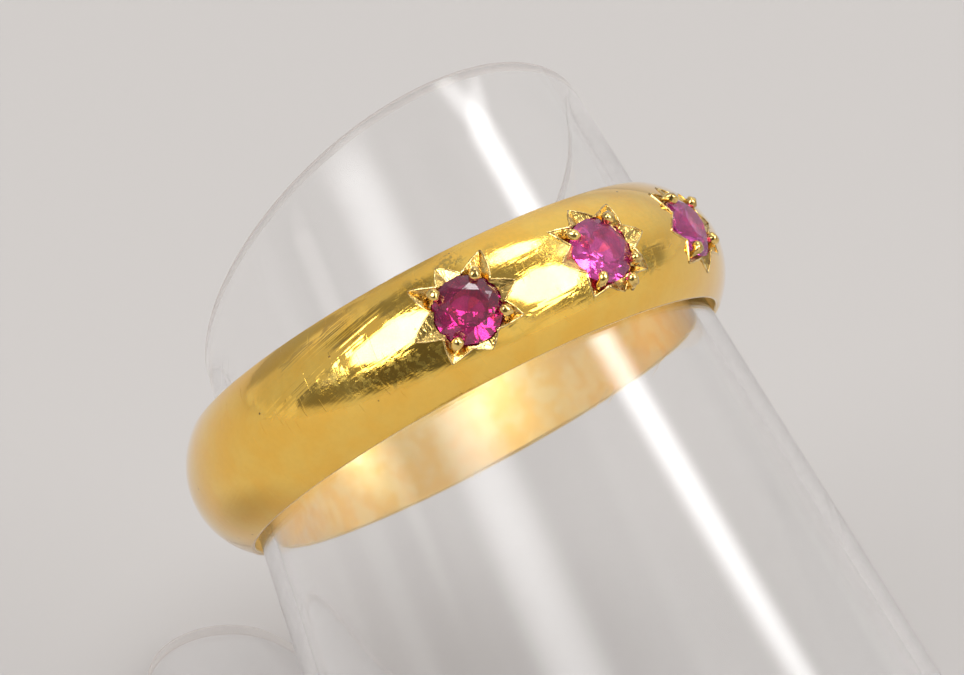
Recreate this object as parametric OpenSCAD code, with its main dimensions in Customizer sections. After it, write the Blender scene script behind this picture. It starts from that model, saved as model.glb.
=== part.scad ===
// A domed gold band with three round rubies set flush in engraved stars, on a clear display stand.
// The stand is one leaning hollow finger with a flat tongue for a foot. Sizes are millimetres.

/* [Band] */
// Inside diameter of the band
bore_d = 17; // [15:0.1:21]
// Width of the band along the finger
band_w = 4.5; // [4.2:0.1:6]
// Thickness of the band at the crown of its dome
band_t = 1.15; // [1.1:0.05:1.6]

/* [Stones] */
// Diameter of each stone at its girdle
stone_d = 2.2; // [1.8:0.05:2.3]
// Angle round the band from one stone to the next
stone_step = 30; // [24:1:40]
// Turn of the middle stone from the upper side of the stand's finger
stone_turn = 8.2; // [-30:0.1:30]
// Height of the stone's crown over its girdle
crown_h = 0.32; // [0.2:0.02:0.36]
// Depth of the stone's pavilion under its girdle
pavilion_h = 0.72; // [0.6:0.02:0.76]
// Depth of the girdle under the crown of the dome
girdle_depth = 0.22; // [0.2:0.02:0.26]

/* [Stars] */
// Distance from the stone's centre to the tip of a ray along the band
ray_along = 1.95; // [1.7:0.05:2]
// Distance to the tip of a slanting ray
ray_slant = 2.0; // [1.7:0.05:2.1]
// Distance to the tip of a ray across the band
ray_across = 1.6; // [1.45:0.05:1.7]
// Depth of a ray beside the stone
ray_depth = 0.28; // [0.2:0.02:0.3]
// Diameter of each grain of metal that holds the stone
grain_d = 0.36; // [0.3:0.02:0.4]

/* [Stand] */
// Lean of the finger from upright
finger_lean = 45; // [35:1:50]
// Half of the finger's taper
finger_taper = 7; // [6:0.5:8]
// Radius of the finger where its centre line meets the floor
finger_base_r = 12.3; // [11.5:0.1:13]
// Thickness of the clear wall
wall = 0.5; // [0.5:0.1:1]
// Angle of the slanted cut across the finger's open top
tip_cut = 26.5; // [15:0.5:35]
// Height of that cut on the finger's centre line, over the ring
tip_over_ring = 3.8; // [3:0.1:6]
// Thickness of the foot
foot_t = 1; // [0.8:0.1:1.5]
// Width of the flange round the finger's base
flange_w = 1.5; // [1:0.1:3]
// Radius of the tongue's rounded end
tongue_r = 3; // [2.5:0.1:5]
// Distance of the centre of that end from the point under the ring
tongue_reach = 15.4; // [12:0.1:20]
// Half of the tongue's taper
tongue_taper = 12; // [6:1:15]

/* [Hidden] */
$fn = 96;

// Running gap between the band and the finger, and between a stone and its seat
rest_gap = 0.1;
seat_gap = 0.03;

// Dome of the band: an arc that meets the bore at both edges
bore_r = bore_d / 2;
dome_r = (pow(band_w / 2, 2) + pow(band_t, 2)) / (2 * band_t);
dome_centre = bore_r + band_t - dome_r;
crest_r = bore_r + band_t;

// The stone: round girdle, eight-sided table, tiny culet
stone_r = stone_d / 2;
girdle_t = 0.05;
table_r = 0.58 * stone_r;
culet_r = 0.04;
drill_r = 0.45;
ray_start = 0.8;
ray_runout = 0.2;
stem_inset = 0.02;

// The band is tilted on the finger so that its bore lies along the finger's upper side
ring_lean = finger_lean + finger_taper;
reach_to_apex = (bore_d - 2 * rest_gap) / tan(2 * finger_taper) - band_w / 2;
ring_seat_r = reach_to_apex * sin(finger_taper);
ring_seat_s = (finger_base_r - ring_seat_r) / tan(finger_taper);

// Where the finger's centre line meets the floor, with the ring's centre over the origin
seat_drop = bore_r - rest_gap;
ring_y_from_base = ring_seat_s * sin(finger_lean) - ring_seat_r * cos(finger_lean) + seat_drop * cos(ring_lean);
ring_h = ring_seat_s * cos(finger_lean) + ring_seat_r * sin(finger_lean) - seat_drop * sin(ring_lean);
base_y = -ring_y_from_base;

// Length of finger that is drawn before the floor and the slanted cut trim it
finger_under = 30;
finger_over = 60;
far = 200;

// Height of the dome over the plane that touches its crest at a stone, u along the band and v across it
function crest_drop(u, v) =
    let (r = dome_centre + sqrt(pow(dome_r, 2) - pow(v, 2)))
    sqrt(pow(r, 2) - pow(u, 2)) - crest_r;

// Eight rays of a star: direction from the line of the band, and distance to the tip
function ray_reach(turn) =
    turn % 180 == 0 ? ray_along : turn % 90 == 0 ? ray_across : ray_slant;

module on_ring() {
    translate([0, 0, ring_h]) rotate([-ring_lean, 0, 0]) children();
}

// A stone's own frame: z outward from the crest of the dome, x along the band, y across it
module at_stone(place) {
    rotate([0, 0, -90 + stone_turn + place * stone_step])
        translate([crest_r, 0, 0]) rotate([0, 90, 0]) rotate([0, 0, 90]) children();
}

// One bright-cut ray: a square prism on its edge, which leaves the dome at the tip and runs out in the air
module ray(turn) {
    reach = ray_reach(turn);
    tip_z = crest_drop(reach * cos(turn), reach * sin(turn));
    foot_z = crest_drop(stone_r * cos(turn), stone_r * sin(turn)) - ray_depth;
    slope = atan2(tip_z - foot_z, reach - stone_r);
    cut_l = reach - ray_start * stone_r;
    cut_w = ray_depth * 1.5;
    rotate([0, 0, turn]) translate([reach, 0, tip_z]) rotate([0, -slope, 0])
        rotate([45, 0, 0]) translate([-cut_l, 0, 0]) cube([cut_l + ray_runout, cut_w, cut_w]);
}

// Seat of a stone: a round pocket to the girdle, a cone for the pavilion and a drilled back
module seat() {
    r = stone_r + seat_gap;
    girdle_z = -girdle_depth - girdle_t - seat_gap;
    cone_h = pavilion_h * (r - drill_r) / stone_r;
    translate([0, 0, girdle_z]) cylinder(r = r, h = 2);
    translate([0, 0, girdle_z - cone_h]) cylinder(r1 = drill_r, r2 = r, h = cone_h);
    translate([0, 0, -band_t - 1]) cylinder(r = drill_r, h = band_t + 1);
}

// A ball with a small flat worn on its top, and another below
module bead(r) {
    half_h = 0.95 * r;
    rotate_extrude() intersection() {
        circle(r = r);
        translate([0, -half_h]) square([r, 2 * half_h]);
    }
}

// A grain of metal pushed over the edge of the stone, on a short stem
module grain(turn) {
    r = grain_d / 2;
    stem_r = r - 0.02;
    stem_x = stone_r + seat_gap + stem_r + stem_inset;
    top_x = stone_r + r - 0.11;
    top_z = -girdle_depth + r + 0.03;
    rotate([0, 0, turn]) {
        translate([top_x, 0, top_z]) bead(r);
        translate([stem_x, 0, -0.7]) cylinder(r = stem_r, h = top_z + 0.7);
    }
}

// The domed ring before it is cut
module dome_ring() {
    rotate_extrude() intersection() {
        translate([dome_centre, 0]) circle(r = dome_r);
        translate([bore_r, -band_w / 2]) square([band_t + 1, band_w]);
    }
}

module seated_ring() {
    difference() {
        dome_ring();
        for (place = [-1:1]) at_stone(place) seat();
    }
}

module starred_ring() {
    difference() {
        seated_ring();
        for (place = [-1:1]) at_stone(place)
            for (turn = [0:45:315]) ray(turn);
    }
}

module band() {
    color("goldenrod") on_ring() {
        starred_ring();
        for (place = [-1:1]) at_stone(place)
            for (turn = [45:90:315]) grain(turn);
    }
}

module stone(place) {
    color("mediumvioletred") on_ring() at_stone(place)
        translate([0, 0, -girdle_depth - girdle_t]) hull() {
            cylinder(r = stone_r, h = girdle_t, $fn = 16);
            translate([0, 0, girdle_t]) rotate([0, 0, 22.5]) cylinder(r = table_r, h = crown_h, $fn = 8);
            translate([0, 0, -pavilion_h]) cylinder(r = culet_r, h = pavilion_h, $fn = 8);
        }
}

module ruby_left() { stone(-1); }

module ruby_middle() { stone(0); }

module ruby_right() { stone(1); }

// A cone along the finger, wider than the finger by grow
module finger_cone(grow) {
    side = grow / cos(finger_taper);
    low_r = finger_base_r + side + finger_under * tan(finger_taper);
    high_r = finger_base_r + side - finger_over * tan(finger_taper);
    translate([0, base_y, 0]) rotate([-finger_lean, 0, 0]) translate([0, 0, -finger_under])
        cylinder(r1 = low_r, r2 = high_r, h = finger_under + finger_over);
}

// All that lies under the slanted cut across the open top
module under_tip_cut() {
    translate([0, base_y, 0]) rotate([-finger_lean, 0, 0])
        translate([0, 0, ring_seat_s + tip_over_ring]) rotate([-tip_cut, 0, 0])
            translate([-far / 2, -far / 2, -far]) cube([far, far, far]);
}

module slab(low, high) {
    translate([-far / 2, -far / 2, low]) cube([far, far, high - low]);
}

// The tongue tapers from the finger's base to its round end
module tongue() {
    back = tongue_reach - base_y;
    end_w = tongue_r * cos(tongue_taper);
    end_y = tongue_reach + tongue_r * sin(tongue_taper);
    back_w = end_w + (back + tongue_r * sin(tongue_taper)) * tan(tongue_taper);
    linear_extrude(foot_t) {
        translate([0, tongue_reach]) circle(r = tongue_r);
        polygon([[-end_w, end_y], [end_w, end_y], [back_w, base_y], [-back_w, base_y]]);
    }
}

module stand() {
    color([0.85, 0.86, 0.87, 0.4]) difference() {
        union() {
            intersection() {
                finger_cone(0);
                under_tip_cut();
                slab(0, far);
            }
            intersection() {
                finger_cone(flange_w);
                slab(0, foot_t);
            }
            tongue();
        }
        finger_cone(-wall);
    }
}

band();
ruby_left();
ruby_middle();
ruby_right();
stand();
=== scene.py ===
# A domed gold ring with three rubies set flush in engraved stars, on a clear plastic display finger.
# Lengths are in millimetres. They become metres through MM where a place or a mesh is made.
import math
import random

import bmesh
import bpy
from mathutils import Matrix, Vector, noise


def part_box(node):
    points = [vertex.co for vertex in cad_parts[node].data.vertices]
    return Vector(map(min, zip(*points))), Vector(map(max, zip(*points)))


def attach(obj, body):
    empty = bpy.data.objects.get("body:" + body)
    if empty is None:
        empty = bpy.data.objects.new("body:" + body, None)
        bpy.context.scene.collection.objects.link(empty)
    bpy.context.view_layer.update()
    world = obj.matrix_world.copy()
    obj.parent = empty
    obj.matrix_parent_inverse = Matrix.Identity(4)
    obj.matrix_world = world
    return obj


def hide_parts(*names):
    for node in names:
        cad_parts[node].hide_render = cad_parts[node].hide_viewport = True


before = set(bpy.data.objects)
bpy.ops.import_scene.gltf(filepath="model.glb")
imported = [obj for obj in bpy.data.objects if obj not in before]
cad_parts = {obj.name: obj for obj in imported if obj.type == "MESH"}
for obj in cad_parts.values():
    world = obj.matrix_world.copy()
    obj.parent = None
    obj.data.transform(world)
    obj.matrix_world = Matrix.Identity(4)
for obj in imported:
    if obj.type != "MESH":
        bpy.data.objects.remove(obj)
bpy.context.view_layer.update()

MM = 0.001
X_AXIS = Vector((1, 0, 0))
UP = Vector((0, 0, 1))

# Band: the sizes of the solid, and the round worn on its edges
BORE_R = 8.5
BAND_T = 1.15
BAND_W = 4.5
CREST_R = BORE_R + BAND_T
DOME_R = (BAND_W**2 / 4 + BAND_T**2) / (2 * BAND_T)
DOME_CENTRE_R = CREST_R - DOME_R
RING_LEAN = math.radians(52)
EDGE_ROUND = 0.11
ROUND_R = BORE_R + EDGE_ROUND
ROUND_Z = math.sqrt((DOME_R - EDGE_ROUND) ** 2 - (ROUND_R - DOME_CENTRE_R) ** 2)

# How finely the band is drawn: round it, and over its dome, its bore and each rounded edge
BAND_STEPS = 480
DOME_STEPS = 64
BORE_STEPS = 10
ROUND_STEPS = 5

# How near to a surface counts as on it, and the small step that measures a slope
NEAR = 1e-3

# Stones: radius, the turn from one to the next, that of the middle one from the finger's upper side, and that
# side's own turn. Then their heights from the crest of the dome
STONE_R = 1.1
STONE_STEP = 30
STONE_TURN = 8.2
UPPER_SIDE = -90
TABLE_Z = 0.10
GIRDLE_TOP_Z = -0.21
GIRDLE_LOW_Z = -0.26
CULET_Z = -0.98

# Seats: the groove for the girdle, the metal's lip over it, the cone, the drilled back, and how far the
# cutter goes past the bore and over the dome
SEAT_R = 1.13
SEAT_Z = -0.30
SEAT_TOP_Z = -0.18
LIP_R = 1.01
LIP_Z = -0.10
CONE_SLOPE = 0.66
DRILL_R = 0.45
DRILL_PAST_BORE = 1
SEAT_OVER_DOME = 0.6
SEAT_STEPS = 64

# Stars: the turn of each ray in degrees from the band's length, and the distance from the stone to its tip
RAYS = {
    -1: [(5, 1.74), (51, 1.97), (98, 1.67), (134, 1.95), (185, 1.92), (227, 1.74), (276, 1.42), (328, 1.72)],
    0: [(3, 1.83), (47, 1.86), (95, 1.61), (141, 1.83), (179, 1.66), (232, 1.62), (279, 1.47), (323, 1.74)],
    1: [(2, 1.80), (44, 1.92), (92, 1.62), (130, 1.79), (185, 1.75), (226, 1.71), (281, 1.58), (328, 1.88)],
}

# Distances from the stone's centre of the notch between two rays, and of the lowest point of a ray
NOTCH_R = 1.15
RAY_START = 0.86 * STONE_R

# The depth beside the stone of a ray along or across the band, and of a slanting one
RAY_DEPTHS = (0.22, 0.36)

# The engraver's hand: how far a notch strays in degrees, the spread of its reach and of a ray's depth, and
# how far a valley strays sideways
NOTCH_TURN = 3
NOTCH_SPREAD = (0.96, 1.06)
DEPTH_SPREAD = (0.9, 1.1)
VALLEY_STRAY = 0.1

# A ray's cutter is larger than the ray: the share added past its tip, and how many times as far its banks and
# its inner end reach
PAST_TIP = 0.3
PAST_BANKS = 1.9
PAST_RAY = 1.3
WEDGE_FACES = [(0, 1, 2), (0, 3, 1), (0, 2, 3), (1, 3, 2)]

# The bright lip along each brink: steps, sides, radius beside the stone, how much it thins, how uneven it is,
# and how many rounds of correction find each place
BRINK_STEPS = 10
BRINK_SIDES = 8
BRINK_SIZES = (0.034, 0.056)
BRINK_THINNING = 0.4
BRINK_SPREAD = (0.6, 1.3)
BRINK_ROUNDS = 8

# Grains of metal: radius, height, sides, how far each strays in degrees and in reach, the spread of their
# size, and the dents in them
GRAIN_R = 0.19
GRAIN_Z = 0.01
GRAIN_SIDES = 20
GRAIN_TURN = 3
GRAIN_STRAY = (-0.03, 0.05)
GRAIN_SPREAD = (0.94, 1.08)
DENT_PITCH = 7
DENT_DEPTH = 0.045
DENT_PLACES = 50

# A grain from its end over the stone, over its bead and down its neck into the ray: distance outward from its
# middle, height, and thickness as a share of its radius
GRAIN_RISE = [
    (-0.20, 0.0, 0.04),
    (-0.185, 0.0, 0.45),
    (-0.13, 0.0, 0.85),
    (-0.05, 0.0, 1.0),
    (0.04, -0.01, 1.0),
    (0.11, -0.05, 0.84),
    (0.14, -0.12, 0.62),
    (0.16, -0.20, 0.52),
    (0.19, -0.32, 0.5),
    (0.20, -0.40, 0.05),
]

# The turn in degrees and the reach of the fifth grain, which the middle star alone has
FIFTH_GRAIN = (287, 1.32)

# Where each series of random draws starts
RAY_SEED = 40
GRAIN_SEED = 70
BRINK_SEED = 90
STONE_SEED = 27

# Display finger and its foot
FINGER_LEAN = math.radians(45)
FINGER_TAPER = math.radians(7)
FINGER_BASE_R = 12.3
REST_GAP = 0.1
WALL = 0.5
RIM_ROUND = 0.13
TIP_CUT = math.radians(26.5)
TIP_OVER_RING = 3.8
FOOT_T = 1.0
FOOT_ROUND = 0.12
FILLET = 0.4
FLANGE_W = 1.5
TONGUE_R = 3
TONGUE_REACH = 15.39
TONGUE_TAPER = math.radians(12)

STARS = {"ruby_left": -1, "ruby_middle": 0, "ruby_right": 1}

# Unseeded, the noise that dents the grains would change from run to run
NOISE_SEED = 1
noise.seed_set(NOISE_SEED)


def band_centre():
    """The ring's centre in metres, from the solid's box, whose cut stars don't reach its limits."""
    low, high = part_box("band")
    return (low + high) / 2


RING_AXIS = Vector((0, math.sin(RING_LEAN), math.cos(RING_LEAN)))
RING_Y = RING_AXIS.cross(X_AXIS)
CENTRE = band_centre()


def material(name, base, rough, **sockets):
    """A Principled material and its nodes: (material, nodes, links, shader)."""
    mat = bpy.data.materials.new(name)
    mat.use_nodes = True
    nodes = mat.node_tree.nodes
    shader = nodes["Principled BSDF"]
    shader.inputs["Base Color"].default_value = (*base, 1)
    shader.inputs["Roughness"].default_value = rough
    for socket, value in sockets.items():
        shader.inputs[socket.replace("_", " ")].default_value = value
    return mat, nodes, mat.node_tree.links, shader


def new_object(name, mesh):
    obj = bpy.data.objects.new(name, mesh)
    bpy.context.scene.collection.objects.link(obj)
    return obj


def mesh_from(name, points, faces):
    """A mesh from points in metres."""
    mesh = bpy.data.meshes.new(name)
    mesh.from_pydata([tuple(p) for p in points], [], faces)
    mesh.validate()
    return mesh


def grid_faces(rows, columns, wrap_rows=True):
    """Quads of a grid of points kept row by row, whose last column meets the first."""
    faces = []
    for i in range(rows if wrap_rows else rows - 1):
        for j in range(columns):
            i2 = (i + 1) % rows
            j2 = (j + 1) % columns
            faces.append((i * columns + j, i * columns + j2, i2 * columns + j2, i2 * columns + j))
    return faces


# The band's own frame


def ring_point(radius, angle, axial):
    """World place in metres of a radius, an angle in radians and a height along the ring's axis."""
    out = X_AXIS * math.cos(angle) + RING_Y * math.sin(angle)
    return CENTRE + (out * radius + RING_AXIS * axial) * MM


def band_section():
    """The section of the band as (radius, height) points: dome, rounded edge, bore, rounded edge."""
    edge_angle = math.atan2(ROUND_Z, ROUND_R - DOME_CENTRE_R)
    points = []
    for i in range(DOME_STEPS + 1):
        a = -edge_angle + 2 * edge_angle * i / DOME_STEPS
        points.append((DOME_CENTRE_R + DOME_R * math.cos(a), DOME_R * math.sin(a)))
    for i in range(1, ROUND_STEPS + 1):
        a = edge_angle + (math.pi - edge_angle) * i / ROUND_STEPS
        points.append((ROUND_R + EDGE_ROUND * math.cos(a), ROUND_Z + EDGE_ROUND * math.sin(a)))
    for i in range(1, BORE_STEPS):
        points.append((BORE_R, ROUND_Z * (1 - 2 * i / BORE_STEPS)))
    for i in range(ROUND_STEPS):
        a = math.pi + (math.pi - edge_angle) * i / ROUND_STEPS
        points.append((ROUND_R + EDGE_ROUND * math.cos(a), -ROUND_Z + EDGE_ROUND * math.sin(a)))
    return points


def crest_drop(u, v):
    """Height of the dome over the plane that touches its crest at a stone, u along the band and v across."""
    r = DOME_CENTRE_R + math.sqrt(DOME_R**2 - v**2)
    return math.sqrt(r**2 - u**2) - CREST_R


class Star:
    """The place of one stone: origin on the crest, u along the band, v across it, w outward."""

    def __init__(self, place):
        angle = math.radians(UPPER_SIDE + STONE_TURN + place * STONE_STEP)
        self.out = X_AXIS * math.cos(angle) + RING_Y * math.sin(angle)
        self.along = RING_Y * math.cos(angle) - X_AXIS * math.sin(angle)
        self.origin = CENTRE + self.out * CREST_R * MM

    def at(self, u, v, w):
        return self.origin + (self.along * u + RING_AXIS * v + self.out * w) * MM


class Ray:
    """One engraved ray: two flat sides that meet in a valley, which rises from the stone to the tip."""

    def __init__(self, turn, reach, notches, depth, stray):
        a = math.radians(turn)
        self.out = Vector((math.cos(a), math.sin(a), 0))
        self.side = Vector((-math.sin(a), math.cos(a), 0))
        self.tip = self.on_dome(self.out * reach)
        self.valley = self.on_dome(self.out * RAY_START + self.side * stray)
        self.valley.z -= depth
        self.banks = [self.on_dome(n) for n in notches]

    @staticmethod
    def on_dome(p):
        return Vector((p.x, p.y, crest_drop(p.x, p.y)))

    def cutter(self):
        """The four corners of the wedge that cuts the ray, above the dome where it is open."""
        over_tip = self.tip + (self.tip - self.valley) * PAST_TIP
        over_banks = [self.valley + (b - self.valley) * PAST_BANKS for b in self.banks]
        return [over_tip] + [self.tip + (p - self.tip) * PAST_RAY for p in (self.valley, *over_banks)]

    def brink(self, k):
        """Points where side k of the ray meets the dome, from the stone to the tip."""
        a = self.valley
        normal = (self.tip - a).cross(self.banks[k] - a)
        points = []
        for i in range(BRINK_STEPS + 1):
            p = self.banks[k].lerp(self.tip, i / BRINK_STEPS)
            p = Vector((p.x, p.y, 0))
            for _ in range(BRINK_ROUNDS):
                plane_z = a.z - (normal.x * (p.x - a.x) + normal.y * (p.y - a.y)) / normal.z
                slope = -(normal.x * self.side.x + normal.y * self.side.y) / normal.z
                near = self.on_dome(p).z
                step = self.on_dome(p + self.side * NEAR).z - near
                p = p + self.side * ((near - plane_z) / (slope - step / NEAR))
            points.append(self.on_dome(p))
        return points


def star_rays(place):
    """The eight rays of a star. Neighbours share the notch between them, where the dome ends in a point."""
    hand = random.Random(RAY_SEED + place)
    rays = RAYS[place]
    notches = []
    for i, (turn, _) in enumerate(rays):
        after = rays[(i + 1) % 8][0] + 360 * (i == 7)
        a = math.radians((turn + after) / 2 + hand.uniform(-NOTCH_TURN, NOTCH_TURN))
        notches.append(Vector((math.cos(a), math.sin(a), 0)) * NOTCH_R * hand.uniform(*NOTCH_SPREAD))
    cut = []
    for i, (turn, reach) in enumerate(rays):
        depth = RAY_DEPTHS[i % 2] * hand.uniform(*DEPTH_SPREAD)
        stray = hand.uniform(-VALLEY_STRAY, VALLEY_STRAY)
        cut.append(Ray(turn, reach, (notches[i], notches[i - 1]), depth, stray))
    return cut


def lathe(section, steps):
    """A closed turned shape from (radius, height) points that start and end on the axis: points and faces."""
    points = [Vector((0, 0, section[0][1]))]
    for r, z in section[1:-1]:
        for i in range(steps):
            a = 2 * math.pi * i / steps
            points.append(Vector((r * math.cos(a), r * math.sin(a), z)))
    points.append(Vector((0, 0, section[-1][1])))
    rows = len(section) - 2
    last = len(points) - 1
    faces = [(0, 1 + (i + 1) % steps, 1 + i) for i in range(steps)]
    for row in range(rows - 1):
        a = 1 + row * steps
        b = a + steps
        faces += [(a + i, a + (i + 1) % steps, b + (i + 1) % steps, b + i) for i in range(steps)]
    a = 1 + (rows - 1) * steps
    faces += [(a + i, a + (i + 1) % steps, last) for i in range(steps)]
    return points, faces


def tube(path, radii, sides):
    """A closed tube of points and faces along a path, with its own radius at each point."""
    points = []
    for i, p in enumerate(path):
        before = path[max(i - 1, 0)]
        after = path[min(i + 1, len(path) - 1)]
        run = (after - before).normalized()
        side = run.cross(UP).normalized()
        up = side.cross(run)
        for k in range(sides):
            a = 2 * math.pi * k / sides
            points.append(p + (side * math.cos(a) + up * math.sin(a)) * radii[i])
    faces = grid_faces(len(path), sides, wrap_rows=False)
    faces.append(tuple(reversed(range(sides))))
    faces.append(tuple(range((len(path) - 1) * sides, len(path) * sides)))
    return points, faces


DOME_SLOT, CUT_SLOT, GRAIN_SLOT, BORE_SLOT, LIP_SLOT = range(5)


def seat_section():
    """The hole for a stone: a drilled back, a cone, and a groove for the girdle under the metal's lip."""
    cone_depth = (SEAT_R - DRILL_R) * CONE_SLOPE
    return [
        (0, -BAND_T - DRILL_PAST_BORE),
        (DRILL_R, -BAND_T - DRILL_PAST_BORE),
        (DRILL_R, SEAT_Z - cone_depth),
        (SEAT_R, SEAT_Z),
        (SEAT_R, SEAT_TOP_Z),
        (LIP_R, LIP_Z),
        (LIP_R, SEAT_OVER_DOME),
        (0, SEAT_OVER_DOME),
    ]


def face_outward(mesh):
    """Turns every face of a closed mesh outward."""
    bm = bmesh.new()
    bm.from_mesh(mesh)
    bmesh.ops.recalc_face_normals(bm, faces=bm.faces)
    bm.to_mesh(mesh)
    bm.free()


def star_piece(star, name, points, faces, slot, mats, smooth=False):
    """An object of its own from a star's local points."""
    mesh = mesh_from(name, [star.at(*p) for p in points], faces)
    face_outward(mesh)
    for mat in mats:
        mesh.materials.append(mat)
    for face in mesh.polygons:
        face.material_index = slot
        face.use_smooth = smooth
    return new_object(name, mesh)


def boolean(obj, tools, operation):
    """Joins the tools' shapes to obj or cuts them out of it. Faces keep their slots, and the tools go."""
    for tool in tools:
        mod = obj.modifiers.new("boolean", "BOOLEAN")
        mod.operation = operation
        mod.solver = "EXACT"
        mod.material_mode = "INDEX"
        mod.object = tool
    depsgraph = bpy.context.evaluated_depsgraph_get()
    mesh = bpy.data.meshes.new_from_object(obj.evaluated_get(depsgraph))
    obj.modifiers.clear()
    obj.data = mesh
    for tool in tools:
        bpy.data.objects.remove(tool)


def star_cutter(place, mats):
    """The seat of a stone and its eight rays as one shape."""
    star = Star(place)
    points, faces = lathe(seat_section(), SEAT_STEPS)
    cutter = star_piece(star, "cutter", points, faces, CUT_SLOT, mats)
    wedges = []
    for ray in star_rays(place):
        wedges.append(star_piece(star, "wedge", ray.cutter(), WEDGE_FACES, CUT_SLOT, mats))
    boolean(cutter, wedges, "UNION")
    return cutter


def grain_path(turn, reach, hand):
    """A grain of metal: a bead over the stone's edge on a neck that goes down into its ray."""
    a = math.radians(turn)
    out = Vector((math.cos(a), math.sin(a), 0))
    path = []
    radii = []
    swell = hand.uniform(*GRAIN_SPREAD)
    for along, height, size in GRAIN_RISE:
        path.append(out * (reach + along) + Vector((0, 0, GRAIN_Z + height)))
        radii.append(GRAIN_R * size * swell)
    return path, radii


def add_grains(place, mats):
    """The grains that hold a stone: one in each slanting ray, and one more that the middle star has."""
    star = Star(place)
    hand = random.Random(GRAIN_SEED + place)
    spots = []
    for turn, _ in RAYS[place][1::2]:
        spots.append((turn + hand.uniform(-GRAIN_TURN, GRAIN_TURN), STONE_R + hand.uniform(*GRAIN_STRAY)))
    if place == 0:
        spots.append(FIFTH_GRAIN)
    pieces = []
    for turn, reach in spots:
        path, radii = grain_path(turn, reach, hand)
        points, faces = tube(path, radii, GRAIN_SIDES)
        dent = Vector((hand.uniform(0, DENT_PLACES), 0, 0))
        points = [p + noise.noise_vector(p * DENT_PITCH + dent) * DENT_DEPTH for p in points]
        pieces.append(star_piece(star, "grain", points, faces, GRAIN_SLOT, mats, smooth=True))
    return pieces


def add_lips(place, mats):
    """The bright lips that the graver leaves along both brinks of each ray."""
    star = Star(place)
    hand = random.Random(BRINK_SEED + place)
    pieces = []
    for ray in star_rays(place):
        for k in (0, 1):
            path = ray.brink(k)
            size = hand.uniform(*BRINK_SIZES)
            radii = []
            for i in range(len(path)):
                radii.append(size * (1 - BRINK_THINNING * i / len(path)) * hand.uniform(*BRINK_SPREAD))
            points, faces = tube(path, radii, BRINK_SIDES)
            pieces.append(star_piece(star, "lip", points, faces, LIP_SLOT, mats, smooth=True))
    return pieces


def is_bore(point):
    """Whether a place in metres on the band's uncut surface is on its inner side."""
    local = (point - CENTRE) / MM
    return (local - RING_AXIS * local.dot(RING_AXIS)).length < BORE_R + 0.3 * EDGE_ROUND


def section_normal(point):
    """The band's true normal at a place in metres on its uncut surface."""
    local = (point - CENTRE) / MM
    height = local.dot(RING_AXIS)
    radial = local - RING_AXIS * height
    r = radial.length
    radial.normalize()
    if r < BORE_R + NEAR:
        return -radial
    dome = radial * (r - DOME_CENTRE_R) + RING_AXIS * height
    if dome.length > DOME_R - NEAR:
        return dome.normalized()
    return (radial * (r - ROUND_R) + RING_AXIS * (height - math.copysign(ROUND_Z, height))).normalized()


def set_band_normals(mesh):
    """Smooth true normals on the dome and bore, flat ones on what is cut."""
    normals = [Vector((0, 0, 0))] * len(mesh.loops)
    for face in mesh.polygons:
        if face.material_index == DOME_SLOT and is_bore(face.center):
            face.material_index = BORE_SLOT
        for loop in face.loop_indices:
            if face.material_index in (DOME_SLOT, BORE_SLOT):
                normals[loop] = section_normal(mesh.vertices[mesh.loops[loop].vertex_index].co)
            else:
                normals[loop] = face.normal
        face.use_smooth = True
    mesh.normals_split_custom_set(normals)


# Worn patches of the dome: middle in degrees from the middle stone and in mm across the band, half size in
# the same units, climb in mm a degree, and how strong the tooling marks and the polishing lines are there
# The strength of the marks also sets where the dome's colour is painted darker, as a painted dark reflection
WORN = [
    (-9.4, 0.6, 4.4, 0.5, 0.02, 1.0, 0.2),
    (-6.6, -0.85, 2.2, 0.5, 0, 1.0, 0.2),
    (-17.5, 0.45, 5, 0.2, -0.03, 0.6, 0.2),
    (-15, -1.08, 8, 0.16, 0, 0.6, 0.8),
    (-21, 1.1, 2.4, 0.6, 0, 0.6, 0.2),
    (-47, -0.6, 13, 0.36, -0.026, 1.0, 0.2),
    (-58.5, 0.12, 3.8, 0.34, 0, 1.0, 0.3),
    (-36, 1.35, 4.0, 0.3, 0, 0.9, 0.3),
    (-28.5, 1.65, 3.2, 0.26, 0, 1.0, 0.2),
    (-40, 1.05, 6, 0.3, 0.02, 0.5, 0.6),
    (-61, 0.95, 15, 0.62, 0.032, 0.05, 1.0),
    (8.8, -0.75, 2.2, 0.42, 0, 1.0, 0.3),
    (14.5, -0.5, 4, 0.12, 0, 0.2, 1.0),
]

# Strength of the marks and of the lines outside the patches
LEAST_WEAR = (0.06, 0.1)

# A patch's edge: how ragged it is, at what pitch, where the wear ends in half sizes, and how far it fades
RAGGED_SHARE = 0.5
RAGGED_PITCH = 2.2
WORN_REACH = 1.2
WORN_FADE = 0.4


def wear_at(point):
    """Strength of the tooling marks and of the polishing lines at a place in metres."""
    local = (point - CENTRE) / MM
    turn = math.degrees(math.atan2(local.dot(RING_Y), local.dot(X_AXIS))) - UPPER_SIDE - STONE_TURN
    turn = (turn + 180) % 360 - 180
    across = local.dot(RING_AXIS)
    ragged = noise.noise(local * RAGGED_PITCH) * RAGGED_SHARE
    levels = LEAST_WEAR
    for middle, height, half_turn, half_height, climb, marks, lines in WORN:
        beside = (turn - middle) / half_turn
        far = math.hypot(beside, (across - height - climb * (turn - middle)) / half_height) + ragged
        near = min(max((WORN_REACH - far) / WORN_FADE, 0), 1)
        levels = (max(levels[0], near * marks), max(levels[1], near * lines))
    return levels


def add_wear(mesh):
    """Keeps the wear as a colour on the band's points, for its materials to read; its marks also place the
    painted dark reflection.
    """
    layer = mesh.attributes.new("wear", "FLOAT_COLOR", "POINT")
    for i, vertex in enumerate(mesh.vertices):
        marks, lines = wear_at(vertex.co)
        layer.data[i].color = (marks, lines, 0, 1)


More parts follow.
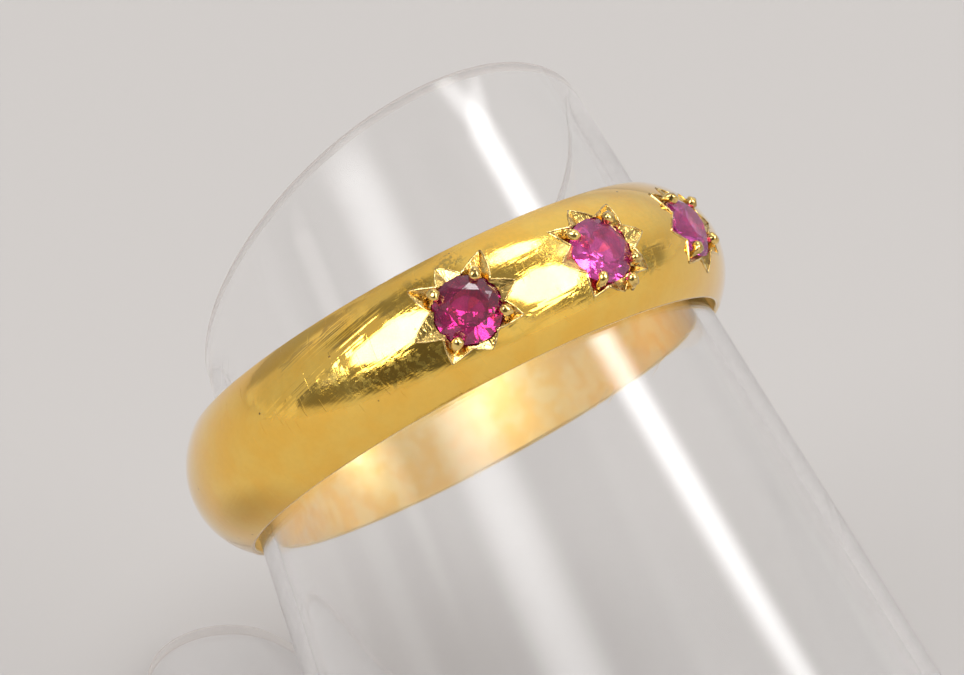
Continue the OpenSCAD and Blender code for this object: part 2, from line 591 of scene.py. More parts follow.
def join(obj, pieces):
    """Adds the pieces to obj's own mesh."""
    with bpy.context.temp_override(active_object=obj, object=obj, selected_editable_objects=[obj, *pieces]):
        bpy.ops.object.join()


def build_band(mats):
    section = band_section()
    points = [ring_point(r, 2 * math.pi * i / BAND_STEPS, z) for i in range(BAND_STEPS) for r, z in section]
    mesh = mesh_from("band_finished", points, grid_faces(BAND_STEPS, len(section)))
    obj = new_object("band_finished", mesh)
    for mat in mats:
        mesh.materials.append(mat)
    boolean(obj, [star_cutter(place, mats) for place in STARS.values()], "DIFFERENCE")
    set_band_normals(obj.data)
    pieces = []
    for place in STARS.values():
        pieces += add_grains(place, mats) + add_lips(place, mats)
    join(obj, pieces)
    add_wear(obj.data)
    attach(obj, "root")
    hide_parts("band")
    return obj


# Rubies

# How far each stone is turned in its seat, in degrees
STONE_TWIST = {-1: 12, 0: -6, 1: 13}

# Facets: the turn between two corners of the table and of the girdle, the reach of the table's, kites' and
# waist's corners in shares of the stone's radius, how far they stray in degrees, and how far down they lie
TABLE_STEP = 45
GIRDLE_STEP = 22.5
TABLE_REACH = (0.53, 0.62)
TABLE_STRAY = 5
KITE_REACH = (0.77, 0.83)
KITE_STRAY = 4
KITE_DOWN = 0.42
WAIST_REACH = 0.30
WAIST_DOWN = 0.72


def uneven_corners(hand, first, reach, stray, height):
    """Eight corners cut by hand: radius, turn in degrees and height."""
    corners = []
    for i in range(8):
        radius = hand.uniform(*reach) * STONE_R
        corners.append((radius, first + TABLE_STEP * i + hand.uniform(-stray, stray), height))
    return corners


def stone_points(hand):
    """A round brilliant, unevenly cut by hand: points by ring, from the table down to the culet."""
    kite_z = TABLE_Z - KITE_DOWN * (TABLE_Z - GIRDLE_TOP_Z)
    waist_z = GIRDLE_LOW_Z + WAIST_DOWN * (CULET_Z - GIRDLE_LOW_Z)
    return [
        uneven_corners(hand, GIRDLE_STEP, TABLE_REACH, TABLE_STRAY, TABLE_Z),
        uneven_corners(hand, 0, KITE_REACH, KITE_STRAY, kite_z),
        [(STONE_R, GIRDLE_STEP * i, GIRDLE_TOP_Z) for i in range(16)],
        [(STONE_R, GIRDLE_STEP * i, GIRDLE_LOW_Z) for i in range(16)],
        [(WAIST_REACH * STONE_R, TABLE_STEP * i, waist_z) for i in range(8)],
    ]


def build_ruby(name, place, mat):
    star = Star(place)
    twist = STONE_TWIST[place]
    points = []
    starts = []
    for ring in stone_points(random.Random(STONE_SEED + place)):
        starts.append(len(points))
        for r, turn, z in ring:
            a = math.radians(turn + twist)
            points.append(star.at(r * math.cos(a), r * math.sin(a), z))
    culet = len(points)
    points.append(star.at(0, 0, CULET_Z))
    table, kite, top, low, waist = starts
    faces = [tuple(table + i for i in range(8))]
    for i in range(8):
        j = (i + 1) % 8
        left_edge = top + (2 * i + 1) % 16
        faces.append((table + i, kite + j, table + j))
        faces.append((table + i, kite + i, left_edge, kite + j))
        faces.append((kite + i, top + 2 * i, left_edge))
        faces.append((kite + j, left_edge, top + (2 * i + 2) % 16))
    for i in range(16):
        j = (i + 1) % 16
        faces.append((top + i, low + i, low + j, top + j))
    for i in range(8):
        j = (i + 1) % 8
        mid = low + (2 * i + 1) % 16
        faces.append((low + 2 * i, waist + i, mid))
        faces.append((low + (2 * i + 2) % 16, mid, waist + j))
        faces.append((mid, waist + i, culet, waist + j))
    mesh = mesh_from(name + "_cut", points, faces)
    face_outward(mesh)
    obj = new_object(name + "_cut", mesh)
    mesh.materials.append(mat)
    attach(obj, "root")
    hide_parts(name)
    return obj


# Display finger


def finger_sizes():
    """Where the ring sits on the finger: distance up its centre line, and the y of that line at the floor."""
    reach = (2 * BORE_R - 2 * REST_GAP) / math.tan(2 * FINGER_TAPER) - BAND_W / 2
    seat_r = reach * math.sin(FINGER_TAPER)
    seat_s = (FINGER_BASE_R - seat_r) / math.tan(FINGER_TAPER)
    drop = BORE_R - REST_GAP
    run = seat_s * math.sin(FINGER_LEAN) - seat_r * math.cos(FINGER_LEAN) + drop * math.cos(RING_LEAN)
    return seat_s, -run


SEAT_S, BASE_Y = finger_sizes()
FINGER_AXIS = Vector((0, math.sin(FINGER_LEAN), math.cos(FINGER_LEAN)))
FINGER_UPPER = Vector((0, -math.cos(FINGER_LEAN), math.sin(FINGER_LEAN)))
FINGER_BASE = Vector((0, BASE_Y, 0))


class Generator:
    """A straight line up the finger's cone at one angle round it, grown outward by a distance."""

    def __init__(self, angle, grow=0.0):
        self.base_r = FINGER_BASE_R + grow / math.cos(FINGER_TAPER)
        self.out = X_AXIS * math.cos(angle) + FINGER_UPPER * math.sin(angle)

    def at(self, s):
        return FINGER_BASE + FINGER_AXIS * s + self.out * (self.base_r - s * math.tan(FINGER_TAPER))

    def meet(self, point, normal):
        """How far up it crosses the plane through a point."""
        rise = (self.at(1) - self.at(0)).dot(normal)
        return (point - self.at(0)).dot(normal) / rise


TIP_LEAN = FINGER_LEAN + TIP_CUT
TIP_POINT = FINGER_BASE + FINGER_AXIS * (SEAT_S + TIP_OVER_RING)
TIP_NORMAL = Vector((0, math.sin(TIP_LEAN), math.cos(TIP_LEAN)))


def cone_reach(bearing, height, grow):
    """Distance from the upright line through the finger's base to its cone, at a bearing and a height."""
    way = Vector((math.sin(bearing), math.cos(bearing), 0))
    start = UP * height
    taper = math.tan(FINGER_TAPER)
    base_r = FINGER_BASE_R + grow / math.cos(FINGER_TAPER)
    rise = way.dot(FINGER_AXIS)
    radius = base_r - start.dot(FINGER_AXIS) * taper
    a = 1 - rise**2 * (1 + taper**2)
    b = 2 * (way.dot(start) - start.dot(FINGER_AXIS) * rise + radius * rise * taper)
    c = start.length_squared - start.dot(FINGER_AXIS) ** 2 - radius**2
    return (-b + math.sqrt(b**2 - 4 * a * c)) / (2 * a)


def tongue_reach(bearing):
    """Distance from the finger's base to the tongue's edge, or 0 behind it."""
    end_w = TONGUE_R * math.cos(TONGUE_TAPER)
    end_y = TONGUE_REACH + TONGUE_R * math.sin(TONGUE_TAPER) - BASE_Y
    turn = abs(bearing)
    if turn < math.atan2(end_w, end_y):
        centre = TONGUE_REACH - BASE_Y
        along = centre * math.cos(turn)
        return along + math.sqrt(TONGUE_R**2 - (centre * math.sin(turn)) ** 2)
    if turn > math.pi / 2:
        return 0
    taper = math.tan(TONGUE_TAPER)
    return (end_w + end_y * taper) / (math.sin(turn) + math.cos(turn) * taper)


def foot_point(bearing, height, inset=0.0):
    reach = max(cone_reach(bearing, height, FLANGE_W), tongue_reach(bearing)) - inset
    return FINGER_BASE + Vector((math.sin(bearing), math.cos(bearing), 0)) * reach + UP * height


def bend(start, corner, end, steps):
    """Points of a rounded corner after its start, up to its end."""
    points = []
    for i in range(1, steps + 1):
        t = i / steps
        points.append(start * (1 - t) ** 2 + corner * 2 * t * (1 - t) + end * t**2)
    return points


# How finely a column of the stand is drawn: the foot's lower and upper corner, its top, the fillet, the wall,
# and each corner of the rim
LOW_STEPS = 3
TOP_STEPS = 4
FOOT_STEPS = 5
FILLET_STEPS = 4
WALL_STEPS = 30
RIM_STEPS = 4
STAND_STEPS = 480

# How much the columns crowd towards the tongue
CROWDING = 0.9

# Rows of a column's faces that make the foot's edge and the cut rim
EDGE_END = LOW_STEPS + 1 + TOP_STEPS
RIM_START = EDGE_END + FOOT_STEPS + FILLET_STEPS + WALL_STEPS
FOOT_EDGE_ROWS = range(EDGE_END)
RIM_ROWS = range(RIM_START, RIM_START + 2 * RIM_STEPS + 1)


def stand_column(bearing):
    """The stand's section at one bearing, from the floor up the outside, over the rim and down the inside."""
    top = foot_point(bearing, FOOT_T, FOOT_ROUND)
    way = (top - FINGER_BASE - UP * FOOT_T).normalized()
    junction = FINGER_BASE + UP * FOOT_T + way * cone_reach(bearing, FOOT_T, 0)
    angle = math.atan2((junction - FINGER_BASE).dot(FINGER_UPPER), junction.x)
    outer = Generator(angle)
    inner = Generator(angle, -WALL)
    low = outer.meet(UP * FOOT_T, UP)
    outer_tip = outer.meet(TIP_POINT, TIP_NORMAL)
    inner_tip = inner.meet(TIP_POINT, TIP_NORMAL)
    inner_low = inner.meet(Vector((0, 0, 0)), UP)
    column = [foot_point(bearing, 0, FOOT_ROUND)]
    column += bend(column[0], foot_point(bearing, 0), foot_point(bearing, FOOT_ROUND), LOW_STEPS)
    side_top = foot_point(bearing, FOOT_T - FOOT_ROUND)
    column.append(side_top)
    column += bend(side_top, foot_point(bearing, FOOT_T), top, TOP_STEPS)
    fillet_start = junction + (top - junction).normalized() * FILLET
    column += [top.lerp(fillet_start, i / FOOT_STEPS) for i in range(1, FOOT_STEPS + 1)]
    column += bend(fillet_start, junction, outer.at(low + FILLET), FILLET_STEPS)
    climb = outer_tip - RIM_ROUND - low - FILLET
    column += [outer.at(low + FILLET + climb * i / WALL_STEPS) for i in range(1, WALL_STEPS + 1)]
    across = inner.at(inner_tip) - outer.at(outer_tip)
    rim_outer = outer.at(outer_tip) + across * (RIM_ROUND / WALL)
    rim_inner = inner.at(inner_tip) - across * (RIM_ROUND / WALL)
    column += bend(column[-1], outer.at(outer_tip), rim_outer, RIM_STEPS)
    column.append(rim_inner)
    column += bend(rim_inner, inner.at(inner_tip), inner.at(inner_tip - RIM_ROUND), RIM_STEPS)
    drop = inner_low + RIM_ROUND - inner_tip
    column += [inner.at(inner_tip - RIM_ROUND + drop * i / WALL_STEPS) for i in range(1, WALL_STEPS + 1)]
    return column


def build_stand(mat, rim_mat):
    points = []
    for i in range(STAND_STEPS):
        even = -math.pi + 2 * math.pi * (i + 0.5) / STAND_STEPS
        points += stand_column(even - CROWDING * math.sin(even))
    count = len(points) // STAND_STEPS
    mesh = mesh_from("display_finger", [p * MM for p in points], grid_faces(STAND_STEPS, count))
    obj = new_object("display_finger", mesh)
    obj.data.materials.append(mat)
    obj.data.materials.append(rim_mat)
    for number, face in enumerate(obj.data.polygons):
        face.use_smooth = True
        row = number % count
        face.material_index = 1 if row in RIM_ROWS or row in FOOT_EDGE_ROWS else 0
    face_outward(obj.data)
    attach(obj, "root")
    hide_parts("stand")
    return obj


# Materials


class Graph:
    """Short calls that add nodes to a material."""

    def __init__(self, nodes, links):
        self.nodes = nodes
        self.links = links

    def add(self, kind, inputs, output, **settings):
        """A node of one kind. Inputs that are sockets are linked, the others are set."""
        node = self.nodes.new("ShaderNode" + kind)
        for name, value in settings.items():
            setattr(node, name, value)
        for socket, value in inputs.items():
            if isinstance(value, bpy.types.NodeSocket):
                self.links.new(value, node.inputs[socket])
            else:
                node.inputs[socket].default_value = value
        return node.outputs[output]

    def math(self, operation, a, b):
        return self.add("Math", {0: a, 1: b}, "Value", operation=operation)

    def total(self, terms):
        """Sum of pairs of a value and its weight."""
        level = 0.0
        for value, weight in terms:
            level = self.add("Math", {0: value, 1: weight, 2: level}, "Value", operation="MULTIPLY_ADD")
        return level

    def noise(self, place, scale, detail=2.0):
        return self.add("TexNoise", {"Vector": place, "Scale": scale, "Detail": detail}, "Fac")

    def stretch(self, place, size):
        return self.add("Mapping", {"Vector": place, "Scale": size}, "Vector")

    def drawn_out(self, place, way, up, length, pitch):
        """The place for a noise that is drawn out into lines that way, at a pitch across them."""
        side = up.cross(way).normalized()
        turn = Matrix((way.normalized(), side, way.cross(side).normalized())).transposed().to_euler()
        ends = {"Vector": place, "Rotation": turn, "Scale": (length, pitch, length)}
        return self.add("Mapping", ends, "Vector", vector_type="TEXTURE")

    def step(self, value, start, end):
        """A smooth rise from 0 at start to 1 at end."""
        ends = {"Value": value, "From Min": start, "From Max": end}
        return self.add("MapRange", ends, "Result", interpolation_type="SMOOTHSTEP")

    def blend(self, share, a, b):
        """A colour between two others."""
        return self.add("MixRGB", {"Fac": share, "Color1": (*a, 1), "Color2": (*b, 1)}, "Color")

    def bump(self, height):
        """A normal from a height in millimetres."""
        return self.add("Bump", {"Height": height, "Strength": 1.0, "Distance": MM}, "Normal")


def ring_place(graph):
    """Place in millimetres from the ring's centre, z along its axis."""
    turn = Matrix((X_AXIS, RING_Y, RING_AXIS)).transposed().to_euler()
    own = graph.add("TexCoord", {}, "Object")
    ends = {"Vector": own, "Location": CENTRE, "Rotation": turn, "Scale": (MM, MM, MM)}
    return graph.add("Mapping", ends, "Vector", vector_type="TEXTURE")


# Tones of the gold: the dome's two, its pits and its painted dark reflection, the grains, the cuts' two (the
# deep one a painted shade), the lips (paler, a painted highlight), the bore's two (paler, painted light)
GOLD = (1.0, 0.635, 0.11)
GOLD_DEEP = (1.0, 0.585, 0.08)
GOLD_PIT = (0.22, 0.12, 0.03)
GOLD_PAINTED_DARK = (0.36, 0.27, 0.06)
GRAIN_GOLD = (1.0, 0.69, 0.2)
CUT_GOLD = (0.96, 0.66, 0.19)
CUT_DEEP_PAINTED_SHADE = (0.48, 0.31, 0.085)
LIP_GOLD_PAINTED_HIGHLIGHT = (1.0, 0.76, 0.3)
BORE_GOLD_PAINTED_LIGHT = (1.0, 0.76, 0.32)
BORE_DEEP_PAINTED_LIGHT = (1.0, 0.65, 0.19)


def gold_material(name, rough, base=GOLD, deep=GOLD_DEEP, drift=0.9):
    """Gold whose colour drifts a little between two tones: (material, graph, shader, place)."""
    mat, nodes, links, shader = material(name, base, rough, Metallic=1.0)
    shader.inputs["Coat Weight"].default_value = 0.7
    shader.inputs["Coat Roughness"].default_value = 0.08
    shader.inputs["Coat IOR"].default_value = 1.5
    graph = Graph(nodes, links)
    place = ring_place(graph)
    tone = graph.step(graph.noise(place, drift, 3.0), 0.35, 0.65)
    links.new(graph.blend(tone, base, deep), shader.inputs["Base Color"])
    return mat, graph, shader, place


# Polishing streaks: degrees from the middle stone, climb across the band, length and pitch
STREAK_MIDDLE = -59
STREAK_SLOPE = 0.19
STREAK_LENGTH = 8.0
STREAK_PITCH = 0.12

# Relief of the dome in millimetres
MARK_HEIGHT = 0.012
STREAK_HEIGHT = 0.030
FINE_HEIGHT = 0.0010
HAIR_HEIGHT = -0.0015
WAVE_HEIGHT = 0.005

# Hairlines on the dome: their way from the ring's centre, length and pitch
DOME_HAIR_WAY = Vector((0.8, 0.5, 0.33))
DOME_HAIR_LENGTH = 1.3
DOME_HAIR_PITCH = 0.11

# Pits: cells to a millimetre, the distances from a cell's point where a pit starts and is full, and the share
# of the cells without one
PIT_CELLS = 1.4
PIT_REACH = (0.065, 0.035)
PIT_SHARE = (0.5, 0.52)

# Roughness of the clean and of the worn dome, and how much of the painted dark reflection's colour the worn
# dome takes
DOME_ROUGH = 0.08
WORN_ROUGH = 0.3
PAINTED_DARK_SHARE = 0.7


def polished_gold():
    """The dome: fine polishing lines all over, tooling marks round the stones, hairlines and a few pits."""
    mat, graph, shader, place = gold_material("gold_polished", DOME_ROUGH)
    wear = graph.add("Attribute", {}, "Color", attribute_name="wear")
    split = graph.nodes.new("ShaderNodeSeparateColor")
    graph.links.new(wear, split.inputs["Color"])
    marks = graph.math("MULTIPLY", graph.noise(place, 9.0, 3.0), split.outputs["Red"])
    worn_and_painted_dark = graph.math("MULTIPLY", graph.step(graph.noise(place, 5.5, 4.0), 0.42, 0.60), split.outputs["Red"])
    streak_turn = math.radians(UPPER_SIDE + STONE_TURN + STREAK_MIDDLE)
    streak_out = Vector((math.cos(streak_turn), math.sin(streak_turn), 0))
    streak_way = Vector((-streak_out.y, streak_out.x, STREAK_SLOPE))
    along = graph.drawn_out(place, streak_way, streak_out, STREAK_LENGTH, STREAK_PITCH)
    lines = graph.math("MULTIPLY", graph.noise(along, 1.0, 1.0), split.outputs["Green"])
    fine = graph.noise(graph.stretch(place, (0.5, 0.5, 22.0)), 1.0)
    scratch = graph.drawn_out(place, DOME_HAIR_WAY, UP, DOME_HAIR_LENGTH, DOME_HAIR_PITCH)
    hair = graph.step(graph.noise(scratch, 1.0, 0.0), 0.70, 0.74)
    waves = graph.noise(place, 1.1, 1.0)
    relief = [(marks, MARK_HEIGHT), (lines, STREAK_HEIGHT), (fine, FINE_HEIGHT), (hair, HAIR_HEIGHT)]
    relief.append((waves, WAVE_HEIGHT))
    graph.links.new(graph.bump(graph.total(relief)), shader.inputs["Normal"])
    cell = graph.nodes.new("ShaderNodeTexVoronoi")
    cell.inputs["Scale"].default_value = PIT_CELLS
    graph.links.new(place, cell.inputs["Vector"])
    pick = graph.nodes.new("ShaderNodeSeparateColor")
    graph.links.new(cell.outputs["Color"], pick.inputs["Color"])
    inside = graph.step(cell.outputs["Distance"], *PIT_REACH)
    pit = graph.math("MULTIPLY", inside, graph.step(pick.outputs["Red"], *PIT_SHARE))
    tone = shader.inputs["Base Color"].links[0].from_socket
    spotted = graph.add("MixRGB", {"Fac": pit, "Color1": tone, "Color2": (*GOLD_PIT, 1)}, "Color")
    # Speckles in the worn patches are painted darker: a painted dark reflection of the room, not dirt
    painted_dark = graph.math("MULTIPLY", worn_and_painted_dark, PAINTED_DARK_SHARE)
    painted_dark_tone = graph.add("MixRGB", {"Fac": painted_dark, "Color1": spotted, "Color2": (*GOLD_PAINTED_DARK, 1)}, "Color")
    graph.links.new(painted_dark_tone, shader.inputs["Base Color"])
    dull = graph.add("MapRange", {"Value": worn_and_painted_dark, "To Min": DOME_ROUGH, "To Max": WORN_ROUGH}, "Result")
    graph.links.new(dull, shader.inputs["Roughness"])
    return mat


def tooled_gold(name, rough, grain, depth, base):
    """Gold that a tool has cut or pressed, with its marks, and a darker tone mixed in at random as a painted
    shade of the engraved recesses.
    """
    mat, graph, shader, place = gold_material(name, rough, base, CUT_DEEP_PAINTED_SHADE, drift=3.5)
    coarse = graph.noise(place, grain, 2.0)
    fine = graph.noise(place, 2.2 * grain, 1.0)
    height = graph.total([(coarse, depth), (fine, depth * 0.3)])
    graph.links.new(graph.bump(height), shader.inputs["Normal"])
    return mat


def bore_gold():
    """The inner side of the band: satin, with fine lines round it, and paler and partly non-metal as painted
    light that brightens it.
    """
    mat, graph, shader, place = gold_material("gold_bore", 0.3, BORE_GOLD_PAINTED_LIGHT, BORE_DEEP_PAINTED_LIGHT, drift=1.4)
    shader.inputs["Metallic"].default_value = 0.75
    lines = graph.noise(graph.stretch(place, (0.4, 0.4, 12.0)), 1.0)
    height = graph.total([(lines, 0.003), (graph.noise(place, 1.2, 2.0), 0.008)])
    graph.links.new(graph.bump(height), shader.inputs["Normal"])
    return mat


def ruby_material(name, base, deep):
    """A slightly cloudy ruby with worn, wavy facets and uneven colour."""
    mat, nodes, links, shader = material(name, base, 0.04, Transmission_Weight=0.88, IOR=1.76)
    graph = Graph(nodes, links)
    place = ring_place(graph)
    cloud = graph.step(graph.noise(place, 1.6, 3.0), 0.38, 0.62)
    links.new(graph.blend(cloud, base, deep), shader.inputs["Base Color"])
    height = graph.total([(graph.noise(place, 1.5, 1.0), 0.03), (graph.noise(place, 9.0, 1.0), 0.0012)])
    links.new(graph.bump(height), shader.inputs["Normal"])
    return mat


# Colour of the plastic where it is sawn
FROSTED = (0.94, 0.84, 0.78)


def frosted_material():
    """The sawn and lightly polished edges of the plastic, on its rim and round its foot."""
    mat, nodes, links, shader = material("clear_rim", FROSTED, 0.5, Alpha=0.3, IOR=1.3)
    graph = Graph(nodes, links)
    own = graph.add("TexCoord", {}, "Object")
    height = graph.total([(graph.noise(own, 6.0 / MM, 2.0), 0.006)])
    links.new(graph.bump(height), shader.inputs["Normal"])
    return mat


# Heights in metres between which the plastic goes from clear to a little dulled by handling, and how much
# light it then lets through
DULL_HEIGHTS = (0.026, 0.017)
DULL_SHARE = 0.965

# Hairlines on the plastic: their way, length and pitch
PLASTIC_HAIR_WAY = Vector((0.8, 0.4, 0.5))
PLASTIC_HAIR_LENGTH = 2 * MM
PLASTIC_HAIR_PITCH = 0.14 * MM

# Colour of the plastic, and of its shadow
PLASTIC = (0.985, 0.983, 0.983)
PLASTIC_SHADOW = (0.97, 0.97, 0.975)


def clear_material():
    """Clear plastic with the faint waves of its moulding, a few hairlines and a dulled lower part."""
    mat, nodes, links, shader = material("clear_plastic", PLASTIC, 0.03, Transmission_Weight=1.0, IOR=1.49)
    graph = Graph(nodes, links)
    own = graph.add("TexCoord", {}, "Object")
    scratch = graph.drawn_out(own, PLASTIC_HAIR_WAY, UP, PLASTIC_HAIR_LENGTH, PLASTIC_HAIR_PITCH)
    hair = graph.noise(scratch, 1.0, 0.0)
    height = graph.total([(graph.noise(own, 0.2 / MM, 0.0), 0.004), (graph.step(hair, 0.74, 0.77), -0.0003)])
    links.new(graph.bump(height), shader.inputs["Normal"])
    clear = graph.add("BsdfTransparent", {"Color": (*PLASTIC_SHADOW, 1)}, "BSDF")
    split = graph.nodes.new("ShaderNodeSeparateXYZ")
    links.new(own, split.inputs["Vector"])
    dull = graph.step(split.outputs["Z"], *DULL_HEIGHTS)
    sheer = graph.add("MapRange", {"Value": dull, "To Min": 1.0, "To Max": DULL_SHARE}, "Result")
    links.new(sheer, shader.inputs["Transmission Weight"])
    shadow = graph.add("LightPath", {}, "Is Shadow Ray")
    both = graph.add("MixShader", {0: shadow, 1: shader.outputs["BSDF"], 2: clear}, "Shader")
    links.new(both, nodes["Material Output"].inputs["Surface"])
    return mat


# Studio


def direction(azimuth, elevation):
    """A world direction, azimuth in degrees from +Y towards +X."""
    a = math.radians(azimuth)
    e = math.radians(elevation)
    return Vector((math.sin(a) * math.cos(e), math.cos(a) * math.cos(e), math.sin(e)))


# Distance of the softboxes from the ring in metres, and the share of their size cut off each corner
SOFTBOX_DISTANCE = 1.6
CORNER_CUT = 0.27


def soften(light, edge):
    """Lets an area light fade towards its edges, over that share of its size, and cuts its corners off."""
    light.use_nodes = True
    nodes = light.node_tree.nodes
    links = light.node_tree.links
    place = nodes.new("ShaderNodeNewGeometry")
    split = nodes.new("ShaderNodeSeparateXYZ")
    links.new(place.outputs["Parametric"], split.inputs["Vector"])
    folds = []
    for axis in ("X", "Y"):
        fold = nodes.new("ShaderNodeMath")
        fold.operation = "PINGPONG"
        fold.inputs[1].default_value = 0.5
        links.new(split.outputs[axis], fold.inputs[0])
        folds.append(fold.outputs["Value"])
    corner = nodes.new("ShaderNodeMath")
    corner.operation = "ADD"
    for i, fold in enumerate(folds):
        links.new(fold, corner.inputs[i])
    level = None
    for reach, start in ((folds[0], 0), (folds[1], 0), (corner.outputs["Value"], CORNER_CUT)):
        fade = nodes.new("ShaderNodeMapRange")
        fade.interpolation_type = "SMOOTHSTEP"
        fade.inputs["From Min"].default_value = start
        fade.inputs["From Max"].default_value = start + edge
        links.new(reach, fade.inputs["Value"])
        if level is None:
            level = fade.outputs["Result"]
            continue
        both = nodes.new("ShaderNodeMath")
        both.operation = "MULTIPLY"
        links.new(level, both.inputs[0])
        links.new(fade.outputs["Result"], both.inputs[1])
        level = both.outputs["Value"]
    links.new(level, nodes["Emission"].inputs["Strength"])


def softbox(name, azimuth, elevation, wide, high, radiance, only, edge=0.05):
    """A soft light of that angular size in degrees as the ring sees it, which lights only those objects."""
    light = bpy.data.lights.new(name, "AREA")
    soften(light, edge)
    light.shape = "RECTANGLE"
    light.size = 2 * SOFTBOX_DISTANCE * math.tan(math.radians(wide) / 2)
    light.size_y = 2 * SOFTBOX_DISTANCE * math.tan(math.radians(high) / 2)
    light.energy = radiance * math.pi * light.size * light.size_y
    obj = new_object(name, light)
    away = direction(azimuth, elevation)
    facing = away.to_track_quat("Z", "Y").to_matrix().to_4x4()
    obj.matrix_world = Matrix.Translation(CENTRE + away * SOFTBOX_DISTANCE) @ facing
    obj.visible_camera = False
    obj.light_linking.receiver_collection = only


def lit_group(name, objects):
    group = bpy.data.collections.new(name)
    for obj in objects:
        group.objects.link(obj)
    return group


# The room that the gold mirrors: its level, that of the backdrop, its tint, and where a wall is brighter or
# darker, as azimuth, elevation, the angles where that is full and where it ends, and the level there
WORLD_LEVEL = 0.56
BACKDROP_LEVEL = 0.64
WORLD_TINT = (1.0, 0.985, 0.965)
WALLS = [
    (60, 50, 14, 52, 0.82),
    (-142, 22, 18, 46, 0.11),
    (-94, 13, 7, 22, 0.20),
    (-86, 23, 2, 7, 1.2),
    (-18, 57, 6, 16, 0.26),
    (-46, 66, 4, 14, 0.30),
    (-39, 37, 2, 9, 0.20),
    (-31, 46, 2, 10, 0.24),
    (155, 76, 5, 20, 0.28),
    (150, 15, 4, 13, 0.26),
    (0, -90, 91, 97, 0.66),
    (-76, -2, 6, 11, 0.78),
    (177, 14, 7, 13, 0.78),
    (-10, 9, 11, 19, 0.38),
    (-22, 27, 4, 13, 0.74),
    (112, 8, 3, 12, 0.30),
    (160, 0, 7, 13, 0.80),
]


def build_world():
    world = bpy.data.worlds.new("studio")
    bpy.context.scene.world = world
    world.use_nodes = True
    nodes = world.node_tree.nodes
    links = world.node_tree.links
    place = nodes.new("ShaderNodeTexCoord")
    shade = None
    for azimuth, elevation, inner, outer, level in WALLS:
        dot = nodes.new("ShaderNodeVectorMath")
        dot.operation = "DOT_PRODUCT"
        dot.inputs[1].default_value = direction(azimuth, elevation)
        links.new(place.outputs["Generated"], dot.inputs[0])
        fade = nodes.new("ShaderNodeMapRange")
        fade.interpolation_type = "SMOOTHSTEP"
        fade.inputs["From Min"].default_value = math.cos(math.radians(outer))
        fade.inputs["From Max"].default_value = math.cos(math.radians(inner))
        links.new(dot.outputs["Value"], fade.inputs["Value"])
        mix = nodes.new("ShaderNodeMix")
        mix.data_type = "FLOAT"
        mix.inputs["A"].default_value = WORLD_LEVEL
        mix.inputs["B"].default_value = level
        links.new(fade.outputs["Result"], mix.inputs["Factor"])
        if shade is not None:
            links.new(shade, mix.inputs["A"])
        shade = mix.outputs["Result"]
    seen = nodes.new("ShaderNodeLightPath")
    plain = nodes.new("ShaderNodeMix")
    plain.data_type = "FLOAT"
    plain.inputs["B"].default_value = BACKDROP_LEVEL
    links.new(seen.outputs["Is Camera Ray"], plain.inputs["Factor"])
    links.new(shade, plain.inputs["A"])
    background = nodes["Background"]
    background.inputs["Color"].default_value = (*WORLD_TINT, 1)
    links.new(plain.outputs["Result"], background.inputs["Strength"])


# The floor in metres, and the painted shadows on it beside the foot: middle, reach and tone
FLOOR_HALF = 1.0
FLOOR_TONE = (0.406, 0.386, 0.375)
PAINTED_FLOOR_SHADOWS = [
    ((0.005, 0.011, 0), 0.014, (0.26, 0.24, 0.228)),
    ((-0.019, 0.005, 0), 0.016, (0.27, 0.245, 0.225)),
]


def build_floor():
    corners = [(-1, -1, 0), (1, -1, 0), (1, 1, 0), (-1, 1, 0)]
    points = [Vector(corner) * FLOOR_HALF for corner in corners]
    floor = new_object("floor", mesh_from("floor", points, [(0, 1, 2, 3)]))
    mat, nodes, links, shader = material("floor_paper", FLOOR_TONE, 0.9)
    graph = Graph(nodes, links)
    own = graph.add("TexCoord", {}, "Object")
    tone = (*FLOOR_TONE, 1)
    # Each spot darkens the floor's colour towards its tone near the foot: a painted shadow of the ring and
    # stand
    for middle, reach, shade in PAINTED_FLOOR_SHADOWS:
        far = graph.add("VectorMath", {0: own, 1: middle}, "Value", operation="DISTANCE")
        lit = graph.step(far, 0.0, reach)
        tone = graph.add("MixRGB", {"Fac": lit, "Color1": (*shade, 1), "Color2": tone}, "Color")
    links.new(tone, shader.inputs["Base Color"])
    floor.data.materials.append(mat)
    return floor


# Camera: the angles, the distance from the ring and the framing of the photograph
CAMERA_AZIMUTH = math.radians(-36.45)
CAMERA_ELEVATION = math.radians(35)
CAMERA_DISTANCE = 130
FOCAL_PIXELS = 3955
PHOTO_WIDTH = 964
SENSOR = 36
CLIP = (0.005, 20)
VIEW_RIGHT = 0.82
VIEW_UP = 1.124


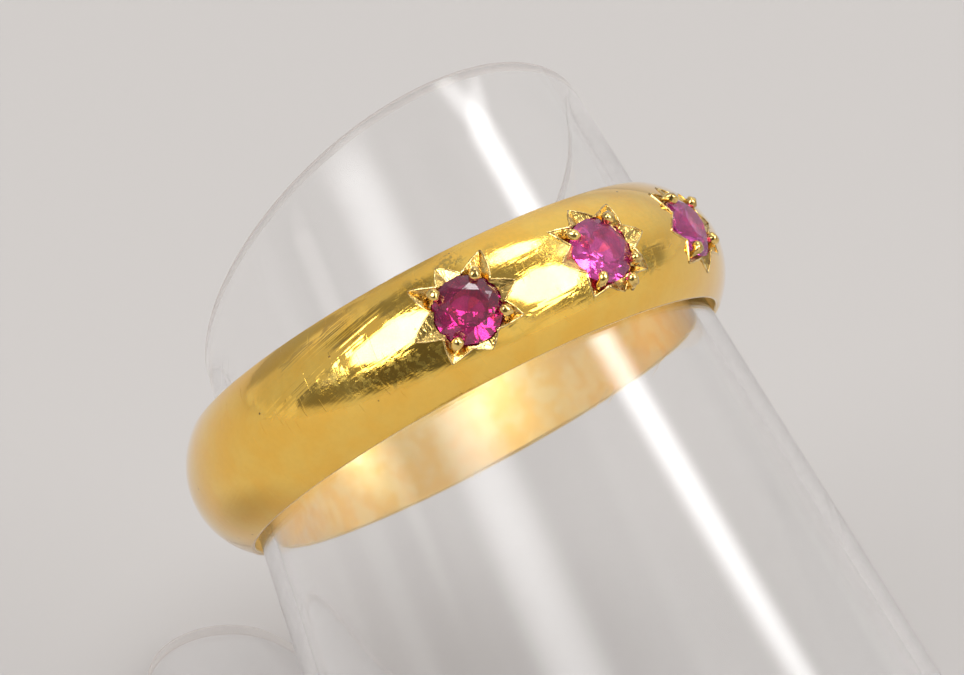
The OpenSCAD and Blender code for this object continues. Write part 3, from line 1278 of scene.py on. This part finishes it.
def build_camera():
    side = math.sin(CAMERA_AZIMUTH)
    front = -math.cos(CAMERA_AZIMUTH)
    level = math.cos(CAMERA_ELEVATION)
    back = Vector((side * level, front * level, math.sin(CAMERA_ELEVATION)))
    right = Vector((-front, side, 0))
    up = back.cross(right)
    data = bpy.data.cameras.new("camera")
    data.sensor_width = SENSOR
    data.lens = FOCAL_PIXELS * SENSOR / PHOTO_WIDTH
    data.clip_start, data.clip_end = CLIP
    camera = new_object("camera", data)
    place = CENTRE + (right * VIEW_RIGHT + up * VIEW_UP + back * CAMERA_DISTANCE) * MM
    turn = Matrix((right, up, back)).transposed().to_4x4()
    camera.matrix_world = Matrix.Translation(place) @ turn
    bpy.context.scene.camera = camera


RUBY_TONES = {
    "ruby_left": ((0.60, 0.022, 0.19), (0.42, 0.012, 0.12)),
    "ruby_middle": ((0.96, 0.15, 0.60), (0.70, 0.05, 0.34)),
    "ruby_right": ((0.88, 0.12, 0.60), (0.72, 0.07, 0.46)),
}

build_camera()
build_world()
floor = build_floor()

golds = [
    polished_gold(),
    tooled_gold("gold_cut", 0.2, 6.5, 0.024, CUT_GOLD),
    tooled_gold("gold_grain", 0.15, 6.0, 0.012, GRAIN_GOLD),
    bore_gold(),
    # The lips' paler tone is a painted highlight
    tooled_gold("gold_lip", 0.24, 8.0, 0.006, LIP_GOLD_PAINTED_HIGHLIGHT),
]
band = build_band(golds)
stones = []
for name, place in STARS.items():
    stones.append(build_ruby(name, place, ruby_material(name + "_red", *RUBY_TONES[name])))
finger = build_stand(clear_material(), frosted_material())

jewel_light = lit_group("jewel_light", [band, *stones, floor])
stand_light = lit_group("stand_light", [finger])
softbox("softbox_side", -100, 49, 36, 36, 6.8, jewel_light)
softbox("softbox_back", 155, 46, 28, 40, 6.8, jewel_light)
softbox("softbox_top", 50, 69.5, 17, 18, 6.8, jewel_light)
softbox("softbox_gap", 104, 57, 16, 8, 3.6, jewel_light)
softbox("stand_side", -120, 47, 40, 50, 3.5, stand_light, edge=0.5)
softbox("stand_back", 119, 47, 18, 52, 8.4, stand_light, edge=0.5)

scene = bpy.context.scene
scene.view_settings.view_transform = "Standard"
scene.cycles.max_bounces = 16
scene.cycles.transmission_bounces = 12
scene.cycles.transparent_max_bounces = 16
